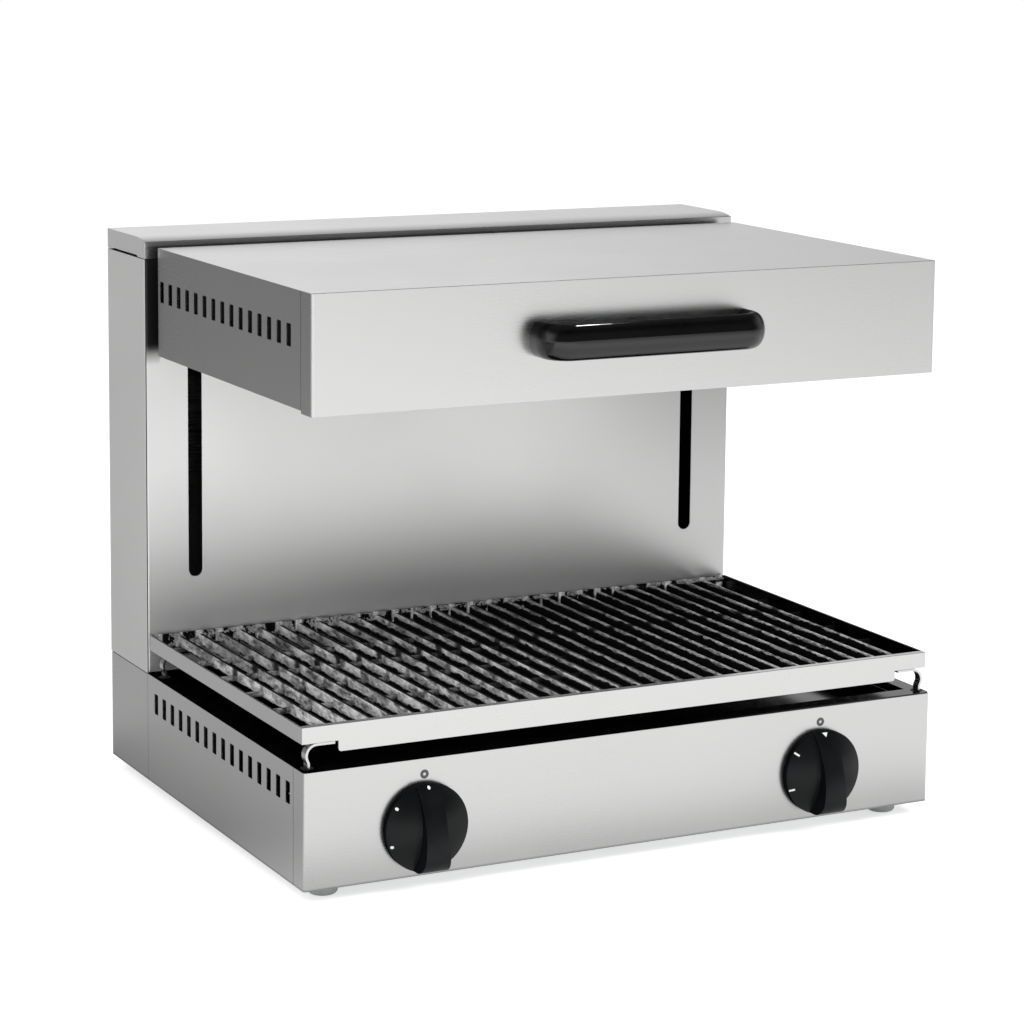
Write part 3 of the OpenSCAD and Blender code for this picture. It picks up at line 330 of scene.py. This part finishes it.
def black_enamel():
    """Vitreous enamel with a faint orange peel. It keeps its glaze towards the right end of the well."""
    finish = Finish("black_enamel", metallic=0.0, specular_ior_level=0.0, coat_roughness=0.12)
    orange_peel = finish.noise(finish.place, scale=300.0)
    dull = finish.noise(finish.place, scale=60.0, detail=6.0, roughness=0.7)
    tone = finish.mix(dull.spread(0.45, 0.75), grey(0.0010), grey(0.0030))
    gloss = dull.spread(0.35, 0.75, 0.25, 0.35)
    glaze = finish.axis(0).spread(0.05, 0.24)
    return finish.wear(base_color=tone, roughness=gloss, coat_weight=glaze,
                       normal=finish.bump(orange_peel, 0.03 * MM, 0.3))


# How far below the bars' upper edges the fat and painted shade start: at the rack's left end, and right of
# its middle
FAT_AND_SHADE_BELOW_LEFT = 9.2 * MM
FAT_AND_SHADE_BELOW_RIGHT = 1.2 * MM
# Bands of fat across the bars: middle along Y, how far the band reaches from it, how much it hides
FAT_BANDS = [(0.068, 0.030, 0.5), (-0.006, 0.010, 0.95), (-0.066, 0.006, 0.6)]


def burnt_bar_steel():
    """Bar steel with burnt-on fat that lies in bands. Towards the right the dark climbs higher up the
    flanks, which is painted shade, and the scraped top edges turn lighter, which is a painted highlight.
    """
    finish = Finish("burnt_bar_steel", metallic=0.25, specular_ior_level=0.3)
    x, y, z = (finish.axis(index) for index in range(3))
    blotch = finish.noise(finish.stretched(1.0, 0.5, 1.0), scale=75.0, detail=6.0, roughness=0.65)
    flake = finish.noise(finish.stretched(1.0, 0.35, 1.0), scale=240.0, detail=4.0, roughness=0.65)
    ragged = (blotch - 0.5) * 0.009 + (flake - 0.5) * 0.005
    # Fat and painted shade reach higher up the flanks towards the right
    fat_and_shade_below = x.spread(-0.27, 0.10, FAT_AND_SHADE_BELOW_LEFT, FAT_AND_SHADE_BELOW_RIGHT) - ragged
    flank = (z + fat_and_shade_below - bars_box[1].z).spread(-0.5 * MM, 0.7 * MM)
    scraped = flake.spread(0.50, 0.60, 1.0, 0.15) * blotch.spread(0.50, 0.62, 1.0, 0.35)
    # Painted highlight on the scraped top edges, stronger towards the right
    scraped_and_lit_top = scraped * x.spread(-0.05, 0.12, 0.02, 1.0)
    bare_and_lit = flank + (scraped_and_lit_top - flank) * finish.facing(2).above(0.5)
    # The rear rail has the same finish, with bare steel behind each bar
    from_bar = (x - first_bar_x).to_and_fro(bar_step / 2)
    on_rear_rail = (y + ragged - bars_box[1].y).above(0.0)
    bare_and_lit = bare_and_lit + (from_bar.spread(2.0 * MM, 4.5 * MM, 1.0, 0.0) - bare_and_lit) * on_rear_rail
    for band_y, reach, hides in FAT_BANDS:
        band = (y - band_y + ragged * 1.4).size().spread(reach * 0.3, reach, hides, 0.0)
        bare_and_lit = bare_and_lit * (1.0 - band)
    mottle = flake.spread(0.38, 0.60) * 0.45 + blotch.spread(0.42, 0.58) * 0.55
    steel = finish.mix(mottle, grey(0.10), grey(1.0))
    tone = finish.mix(bare_and_lit, grey(0.003), steel)
    gloss = 0.85 - bare_and_lit * 0.45
    return finish.wear(base_color=tone, roughness=gloss, normal=finish.bump(flake, 0.4 * MM, 0.6))


def burnt_rod_steel():
    """Cross rods of blotched bare steel and burnt-on fat; they go black towards the right."""
    finish = Finish("burnt_rod_steel", metallic=0.25, specular_ior_level=0.2)
    blotch = finish.noise(finish.place, scale=150.0, detail=5.0, roughness=0.65)
    bare = finish.mix(blotch.spread(0.38, 0.62), grey(0.04), grey(0.34))
    tone = finish.mix(finish.axis(0).spread(-0.27, 0.02), bare, grey(0.004))
    gloss = blotch.spread(0.38, 0.62, 0.75, 0.6)
    return finish.wear(base_color=tone, roughness=gloss, normal=finish.bump(blotch, 0.4 * MM, 0.5))


# ---- Plastics, wool, wire and plain coats ----

PLASTIC_TINT = (0.85, 1.0, 1.12)
WOOL_TINT = (1.0, 0.95, 0.85)


def black_moulding():
    """Satin black plastic with a fine spark-eroded texture. Its sides are worn dull."""
    finish = Finish("black_moulding", specular_ior_level=0.0, coat_roughness=0.38)
    texture = finish.noise(finish.place, scale=2600.0)
    worn = finish.noise(finish.place, scale=35.0, detail=4.0)
    tone = finish.mix(worn.spread(0.35, 0.7), grey(0.004, PLASTIC_TINT), grey(0.007, PLASTIC_TINT))
    gloss = worn.spread(0.3, 0.7, 0.36, 0.46)
    shine = finish.facing(0).spread(0.5, 0.8, 0.55, 0.0)
    return finish.wear(base_color=tone, roughness=gloss, coat_weight=shine,
                       normal=finish.bump(texture, 0.04 * MM, 0.5))


def polished_black():
    """Polished thermoset of the hood's handle."""
    finish = Finish("polished_black", specular_ior_level=0.6)
    ripple = finish.noise(finish.place, scale=90.0, detail=1.0)
    haze = finish.noise(finish.place, scale=22.0, detail=4.0)
    tone = finish.mix(haze.spread(0.3, 0.7), grey(0.0015), grey(0.0030))
    gloss = haze.spread(0.3, 0.7, 0.05, 0.08)
    return finish.wear(base_color=tone, roughness=gloss, normal=finish.bump(ripple, 0.02 * MM, 0.1))


def mineral_wool():
    """Dark high-temperature wool."""
    finish = Finish("mineral_wool", roughness=0.95)
    fibre = finish.noise(finish.stretched(1.0, 3.0, 1.0), scale=400.0, detail=4.0, distortion=2.0)
    tone = finish.mix(fibre.spread(0.3, 0.7), grey(0.006, WOOL_TINT), grey(0.020, WOOL_TINT))
    return finish.wear(base_color=tone, normal=finish.bump(fibre, 0.8 * MM))


def stranded_wire():
    """Steel cable with the light and dark of its fine strands."""
    finish = Finish("stranded_wire", metallic=1.0, roughness=0.4)
    strands = finish.noise(finish.place, scale=900.0, detail=1.0)
    tone = finish.mix(strands.spread(0.35, 0.65), grey(0.10), grey(0.38))
    return finish.wear(base_color=tone, normal=finish.bump(strands, 0.3 * MM))


def plain_coat(name, colour, roughness, metallic=0.0, contrast=0.12, relief=0.05 * MM, specular=0.5):
    """A painted, plated or moulded surface with faint blotches and a fine relief."""
    finish = Finish(name, metallic=metallic, specular_ior_level=specular)
    blotch = finish.noise(finish.place, scale=30.0, detail=4.0)
    texture = finish.noise(finish.place, scale=960.0)
    darker = tuple(part * (1.0 - contrast) for part in colour) + (1.0,)
    lighter = tuple(min(1.0, part * (1.0 + contrast)) for part in colour) + (1.0,)
    tone = finish.mix(blotch.spread(0.3, 0.7), darker, lighter)
    gloss = blotch.spread(0.3, 0.7, roughness - 0.04, roughness + 0.04)
    return finish.wear(base_color=tone, roughness=gloss, normal=finish.bump(texture, relief, 0.5))


PLAIN_COATS = {
    "inner_steel": {"colour": (0.40, 0.41, 0.42), "roughness": 0.42, "metallic": 1.0},
    "dark_plate": {"colour": (0.004, 0.004, 0.005), "roughness": 0.8, "specular": 0.05},
    "white_paint": {"colour": (0.85, 0.85, 0.85), "roughness": 0.5, "contrast": 0.05},
    "printed_ink": {"colour": (0.09, 0.09, 0.09), "roughness": 0.5},
    "grey_rubber": {"colour": (0.52, 0.53, 0.53), "roughness": 0.6},
    "screw_steel": {"colour": (0.62, 0.62, 0.63), "roughness": 0.24, "metallic": 1.0},
    "switch_plastic": {"colour": (0.62, 0.58, 0.48), "roughness": 0.5},
    "plated_brass": {"colour": (0.66, 0.50, 0.20), "roughness": 0.30, "metallic": 1.0},
    "bearing_brass": {"colour": (0.58, 0.38, 0.16), "roughness": 0.38, "metallic": 1.0},
    "pulley_aluminium": {"colour": (0.66, 0.67, 0.68), "roughness": 0.34, "metallic": 1.0},
    "weight_iron": {"colour": (0.06, 0.06, 0.065), "roughness": 0.6, "contrast": 0.3, "relief": 0.4 * MM},
    "reflector_steel": {"colour": (0.74, 0.74, 0.73), "roughness": 0.20, "metallic": 1.0},
    "element_sheath": {"colour": (0.085, 0.070, 0.060), "roughness": 0.55, "metallic": 0.5,
                       "contrast": 0.35},
}


def make_finishes():
    made = {name: plain_coat(name, **look) for name, look in PLAIN_COATS.items()}
    made.update({
        "casing_steel": satin_steel("casing_steel", 0.665, 0.29, dirt_and_shade=lower_edge_shade),
        # The column's steel is set far lighter than the same steel of the casing: painted light on the
        # panel under the hood
        "column_steel": satin_steel("column_steel", 0.98, 0.36, streaks=0.7, metallic=0.8,
                                    dirt_and_shade=column_painted_shade, rougher_sides=0.05),
        "cover_steel": satin_steel("cover_steel", 0.80, 0.29, dirt_and_shade=cover_darkened_but_ends, rougher_sides=0.12),
        "rack_steel": satin_steel("rack_steel", 0.70, 0.27, streaks=0.5),
        "rail_steel": satin_steel("rail_steel", 0.70, 0.27, streaks=0.5, dirt_and_shade=rail_dulled),
        "black_enamel": black_enamel(),
        "bar_steel": burnt_bar_steel(),
        "rod_steel": burnt_rod_steel(),
        "black_plastic": black_moulding(),
        "handle_plastic": polished_black(),
        "mineral_wool": mineral_wool(),
        "cable_steel": stranded_wire(),
    })
    return made


# Nodes whose finish isn't the one of their slot
OTHER_FINISH = {
    "column_casing": "column_steel",
    "column_top_cover": "cover_steel",
    "rack_rear_rail": "bar_steel",
    "rack_side_rails": "rail_steel",
    "rack_cross_rods": "rod_steel",
}


def finish_of(name):
    return finishes[OTHER_FINISH.get(name, slot_of[name])]


# ---- Studio ----

# Level heading in which the studio gets dark
DARK_SIDE = Vector((-0.50, 0.866, 0.0))
# Light that matt surfaces get from all round
AMBIENT = 0.62
FLOOR_R = 7.0
FLOOR_GREY = 0.86
# Light of the floor's own that only the camera sees, so that it looks white and keeps the shadow
FLOOR_GLOW = 0.55


def make_world():
    """White to the camera. Metal sees walls that dim upwards, to the right and towards the dark side, and
    a dark room in front of the object."""
    world = bpy.data.worlds.new("studio")
    bpy.context.scene.world = world
    world.use_nodes = True
    world.node_tree.nodes.clear()
    tree = Nodes(world.node_tree)
    seen, mirrored = tree.rays()
    heading = tree.node("ShaderNodeTexCoord").outputs["Generated"]
    aside, ahead, height = (tree.coordinate(heading, index) for index in range(3))
    room = height.spread(0.0, 0.05) * ahead.spread(-0.6, -0.1, 0.90, 0.0)
    walls = height.spread(0.30, 0.72, 1.08, 0.10) * aside.spread(0.30, 0.75, 1.0, 0.45) * (1.0 - room)
    unlit = tree.along(heading, DARK_SIDE).spread(0.70, 0.97, 1.0, 0.16)
    level = seen + (1.0 - seen) * (mirrored * walls * unlit + (1.0 - mirrored) * AMBIENT)
    background = tree.node("ShaderNodeBackground", None, {"Color": WHITE, "Strength": level})
    output = tree.node("ShaderNodeOutputWorld")
    tree.feed(output.inputs["Surface"], background.outputs[0])


def make_floor():
    """A pale floor. Metal sees it dimmer at the object's foot, towards the dark side and far out."""
    bpy.ops.mesh.primitive_circle_add(vertices=96, radius=FLOOR_R, fill_type="NGON", location=(0, 0, 0))
    floor = bpy.context.object
    floor.name = "studio_floor"
    material = bpy.data.materials.new("studio_floor")
    material.use_nodes = True
    material.node_tree.nodes.clear()
    tree = Nodes(material.node_tree)
    seen, mirrored = tree.rays()
    matt = tree.node("ShaderNodeBsdfDiffuse", None, {"Color": grey(FLOOR_GREY)})
    glow = tree.node("ShaderNodeEmission", None, {"Color": WHITE, "Strength": seen * FLOOR_GLOW})
    lit = tree.node("ShaderNodeAddShader", None, {0: matt.outputs[0], 1: glow.outputs[0]})
    place = tree.node("ShaderNodeTexCoord").outputs["Object"]
    across, back = (tree.coordinate(place, index) for index in range(2))
    away = tree.along(place, DARK_SIDE)
    gap = (across.size() - cad_bounds[1][0]).at_least(back.size() - cad_bounds[1][1])
    contact = gap.spread(0.0, 0.15, 0.6, 1.0) * gap.spread(0.4, 1.3, 1.0, 1.28)
    level = away.spread(-0.12, 0.20, 1.14, 0.47) * away.spread(0.8, 2.2, 1.0, 0.40)
    level = level * contact * across.spread(0.0, 3.0, 1.0, 0.6)
    image = tree.node("ShaderNodeEmission", None, {"Color": WHITE, "Strength": level})
    mixed = tree.node("ShaderNodeMixShader", None, {0: mirrored, 1: lit.outputs[0], 2: image.outputs[0]})
    output = tree.node("ShaderNodeOutputMaterial")
    tree.feed(output.inputs["Surface"], mixed.outputs[0])
    floor.data.materials.append(material)


def soft_lamp(name, place, aim, width, height, power, mirrored=False):
    data = bpy.data.lights.new(name, "AREA")
    data.shape = "RECTANGLE"
    data.size = width
    data.size_y = height
    data.energy = power
    lamp = bpy.data.objects.new(name, data)
    bpy.context.scene.collection.objects.link(lamp)
    lamp.location = place
    lamp.rotation_euler = (Vector(aim) - Vector(place)).to_track_quat("-Z", "Y").to_euler()
    lamp.visible_camera = False
    lamp.visible_glossy = mirrored


def make_lamps():
    """Two soft lamps that nothing mirrors, and a small one whose reflection lies on the handle."""
    soft_lamp("key_lamp", (1.6, -2.0, 2.3), aim=(0, 0, 0.2), width=2.0, height=1.6, power=42)
    soft_lamp("fill_lamp", (-2.0, -1.6, 1.8), aim=(0, 0, 0.25), width=1.6, height=1.6, power=34)
    soft_lamp("handle_lamp", (0.605, 0.22, 1.69), aim=(0.0, -0.25, 0.46), width=0.06, height=0.08,
              power=1.8, mirrored=True)


# ---- Pieces ----

# How wide, in millimetres, the edges of bent sheet are rounded over
SHEET_EDGE = 0.45
# The nodes that get rounded edges, by that width
ROUNDED_EDGES = {
    SHEET_EDGE: [
        "base_front_panel", "base_side_left", "base_side_right", "base_rear_casing", "base_floor",
        "base_bulkhead", "well_liner", "column_casing", "column_top_cover", "column_back_panel",
        "hood_canopy", "hood_front_panel", "hood_back_plate", "hood_reflector", "drip_tray",
        "counterweight", "rack_front_rail", "rack_rear_rail", "rack_side_rails", "rack_legs",
    ],
    0.8: ["feet", "hood_arms", "carriage", "cable_gland", "gland_nut", "bonding_stud"],
    1.0: ["knob_left", "knob_right"],
}
# Corners closer than this are one
WELD = 0.002 * MM
# Edges steeper than this are rounded over
SHARP = math.radians(40)
# Edges steeper than this stay sharp in the shading
CREASED = math.radians(35)
# Thickness of the handle's bar from front to back, the radius of its outer bends and the section's sides
HANDLE_T = 19.0 * MM
HANDLE_BEND_R = 27.0 * MM
HANDLE_SIDES = 32
# Radius of the rear upper corner of a rack bar, and how wide the edges of its flanks are rounded over
BAR_END_R = 5.0 * MM
BAR_EDGE = 0.4 * MM


def stands_for(piece, name):
    """Lets a piece take a node's place, body and finish."""
    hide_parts(name)
    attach(piece, body_of[name])
    piece.data.materials.clear()
    piece.data.materials.append(finish_of(name))


def start(name):
    """Names a new primitive, moves its origin to the frame's and opens it for editing."""
    piece = bpy.context.object
    piece.name = name
    bpy.ops.object.transform_apply(location=True, rotation=True, scale=True)
    bpy.ops.object.mode_set(mode="EDIT")
    return piece


def pick_edges(piece, wanted):
    """Selects the edges for whose middles the test holds."""
    bpy.ops.mesh.select_mode(type="EDGE")
    bpy.ops.mesh.select_all(action="DESELECT")
    grid = bmesh.from_edit_mesh(piece.data)
    for edge in grid.edges:
        if wanted((edge.verts[0].co + edge.verts[1].co) / 2):
            edge.select_set(True)
    bmesh.update_edit_mesh(piece.data)


def stretch(x, y, z):
    bpy.ops.mesh.extrude_region_move(TRANSFORM_OT_translate={"value": (x, y, z)})


def bow_handle():
    """An oval bar that is led out of the hood, round a bend, across and back in."""
    low, high = (Vector(corner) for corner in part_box("handle"))
    middle_z = (low.z + high.z) / 2
    foot = high.y - low.y - HANDLE_BEND_R
    # Turned by half a side, the section has flats at its front and back
    half_side = math.pi / HANDLE_SIDES
    bpy.ops.object.select_all(action="DESELECT")
    bpy.ops.mesh.primitive_circle_add(vertices=HANDLE_SIDES, radius=HANDLE_T / 2, fill_type="NOTHING",
                                      location=(low.x + HANDLE_T / 2, high.y, middle_z),
                                      rotation=(math.pi / 2, half_side, 0))
    piece = start("bow_handle")
    bpy.ops.transform.resize(value=(1, 1, (high.z - low.z) / HANDLE_T), center_override=(0, 0, middle_z))
    stretch(0, -foot, 0)
    bend_y = low.y + HANDLE_BEND_R
    for bend_x, run in ((low.x + HANDLE_BEND_R, (high.x - low.x - 2 * HANDLE_BEND_R, 0, 0)),
                        (high.x - HANDLE_BEND_R, (0, foot, 0))):
        bpy.ops.mesh.spin(steps=16, angle=-math.pi / 2, center=(bend_x, bend_y, middle_z), axis=(0, 0, 1))
        stretch(*run)
    bpy.ops.mesh.select_all(action="SELECT")
    bpy.ops.mesh.fill_holes(sides=0)
    bpy.ops.mesh.normals_make_consistent(inside=False)
    # Extruding and spinning number the faces differently on each run
    bpy.ops.mesh.sort_elements(type="CURSOR_DISTANCE", elements={"VERT", "EDGE", "FACE"})
    bpy.ops.object.mode_set(mode="OBJECT")
    bpy.ops.object.shade_smooth_by_angle(angle=CREASED)
    stands_for(piece, "handle")


def rack_bars():
    """Upright flat bars with rounded upper corners at their rear ends."""
    low, high = bars_box
    middle = Vector((first_bar_x, (low.y + high.y) / 2, (low.z + high.z) / 2))
    rear_top = Vector((first_bar_x, high.y, high.z))
    near = 0.05 * MM
    bpy.ops.object.select_all(action="DESELECT")
    bpy.ops.mesh.primitive_cube_add(size=1, location=middle, scale=(BAR_T, high.y - low.y, high.z - low.z))
    piece = start("worn_bars")
    pick_edges(piece, lambda place: (place - rear_top).length < near)
    bpy.ops.mesh.bevel(offset=BAR_END_R, segments=6, affect="EDGES")
    pick_edges(piece, lambda place: abs(place.x - first_bar_x) > BAR_T / 2 - near)
    bpy.ops.mesh.bevel(offset=BAR_EDGE, segments=2, affect="EDGES")
    bpy.ops.object.mode_set(mode="OBJECT")
    row = piece.modifiers.new("row", "ARRAY")
    row.count = BAR_COUNT
    row.use_relative_offset = False
    row.use_constant_offset = True
    row.constant_offset_displace = (bar_step, 0, 0)
    bpy.ops.object.modifier_apply(modifier=row.name)
    bpy.ops.object.shade_smooth_by_angle(angle=CREASED)
    stands_for(piece, "rack_bars")


def rounded(name, width):
    """A copy of a node whose sharp edges are rounded over by a width in millimetres."""
    piece = bpy.data.objects.new(name + "_rounded", nodes[name].data.copy())
    bpy.context.scene.collection.objects.link(piece)
    bpy.ops.object.select_all(action="DESELECT")
    piece.select_set(True)
    bpy.context.view_layer.objects.active = piece
    bpy.ops.object.mode_set(mode="EDIT")
    bpy.ops.mesh.select_all(action="SELECT")
    bpy.ops.mesh.customdata_custom_splitnormals_clear()
    bpy.ops.mesh.remove_doubles(threshold=WELD)
    bpy.ops.mesh.dissolve_limited(angle_limit=math.radians(0.4))
    bpy.ops.object.mode_set(mode="OBJECT")
    bevel = piece.modifiers.new("edges", "BEVEL")
    bevel.width = width * MM
    bevel.segments = 2
    bevel.limit_method = "ANGLE"
    bevel.angle_limit = SHARP
    bpy.ops.object.modifier_apply(modifier=bevel.name)
    bpy.ops.object.shade_smooth_by_angle(angle=CREASED)
    if width == SHEET_EDGE:
        evened = piece.modifiers.new("flat_faces", "WEIGHTED_NORMAL")
        evened.weight = 100
        evened.keep_sharp = True
        bpy.ops.object.modifier_apply(modifier=evened.name)
    stands_for(piece, name)


# ---- The scene ----

set_camera()
finishes = make_finishes()
for width, names in ROUNDED_EDGES.items():
    for name in names:
        rounded(name, width)
bow_handle()
rack_bars()
# The nodes that no piece stands for keep their shape and get their finish
for name, node in nodes.items():
    if not node.hide_render:
        for material_slot in node.material_slots:
            material_slot.material = finish_of(name)

make_world()
make_floor()
make_lamps()
bpy.context.scene.view_settings.view_transform = "Standard"
